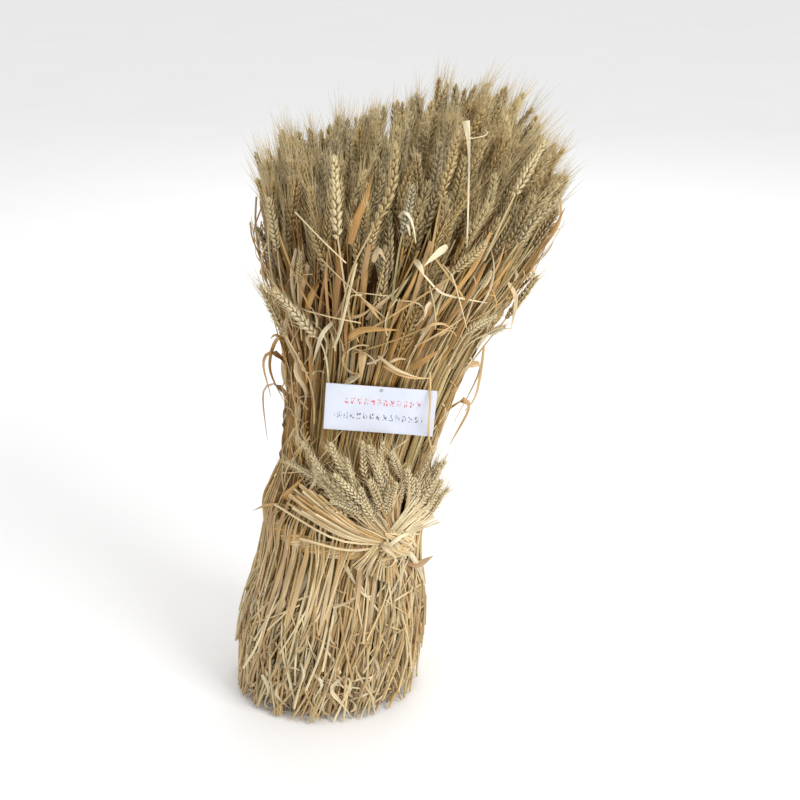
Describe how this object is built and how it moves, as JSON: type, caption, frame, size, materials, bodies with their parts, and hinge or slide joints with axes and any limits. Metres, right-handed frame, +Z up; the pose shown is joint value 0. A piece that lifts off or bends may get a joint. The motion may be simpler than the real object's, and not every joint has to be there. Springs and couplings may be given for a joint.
{
  "type": "bundle of dried wheat",
  "caption": "Sheaf of dried wheat standing on its cut ends, tied at the waist with a band twisted from its own straw, with a small white card pinned to the front.",
  "frame": {"origin": "on the floor, at the middle of the sheaf's cut ends", "axes": "+Z up along the standing sheaf, -Y towards its front with the card, +X towards the side that the ears lean to"},
  "size_m": [0.483, 0.3928, 0.9094],
  "materials": {
    "straw": "dry golden straw with a faint sheen along the stalks",
    "band_straw": "paler dry straw, twisted and knotted",
    "card": "smooth white card",
    "pin": "plain steel"
  },
  "bodies": {
    "root": {"handful_outer_01": "straw", "handful_outer_02": "straw", "handful_outer_03": "straw", "handful_outer_04": "straw", "handful_outer_05": "straw", "handful_outer_06": "straw", "handful_outer_07": "straw", "handful_outer_08": "straw", "handful_outer_09": "straw", "handful_outer_10": "straw", "handful_outer_11": "straw", "handful_outer_12": "straw", "handful_inner_1": "straw", "handful_inner_2": "straw", "handful_inner_3": "straw", "handful_inner_4": "straw", "handful_inner_5": "straw", "handful_inner_6": "straw", "handful_centre": "straw", "straw_band": "band_straw", "card": "card", "pin": "pin"}
  },
  "joints": []
}
